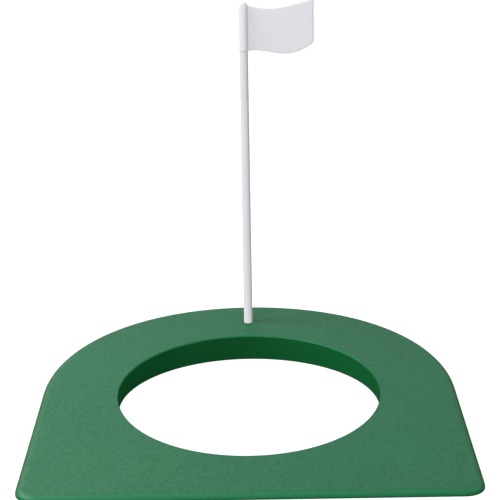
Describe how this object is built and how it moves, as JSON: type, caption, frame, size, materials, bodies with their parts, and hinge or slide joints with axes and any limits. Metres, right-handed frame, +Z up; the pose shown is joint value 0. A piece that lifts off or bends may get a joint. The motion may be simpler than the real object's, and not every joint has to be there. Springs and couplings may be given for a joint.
{
  "type": "putting cup",
  "caption": "Sloped practice putting plate with a full-size open cup hole and a lift-out pole that carries a small wavy flag behind the hole.",
  "frame": {"origin": "middle of the plate's footprint, on the floor", "axes": "+X to the player's right, the side the flag flies to at rest; +Y from the low front lip to the round back, the way a ball is putted; +Z up"},
  "size_m": [0.17, 0.1694, 0.1583],
  "materials": {
    "green_plastic": "injection-moulded green plastic: fine matt grain on the sloped top, smoother satin walls and rounded edges",
    "white_plastic": "white moulded plastic, satin",
    "flag_plastic": "white moulded plastic, satin, faintly cool"
  },
  "bodies": {
    "plate": {"ramp_base": "green_plastic"},
    "pole": {"flag_pole": "white_plastic"},
    "flag": {"flag": "flag_plastic"}
  },
  "joints": [
    {"name": "pole_lift", "type": "slide", "parent": "plate", "child": "pole", "axis": [0, 0, 1], "range_m": [0, 0.03]},
    {"name": "flag_turn", "type": "hinge", "parent": "pole", "child": "flag", "pos_m": [0, 0.0665, 0.144], "axis": [0, 0, 1], "continuous": true}
  ]
}
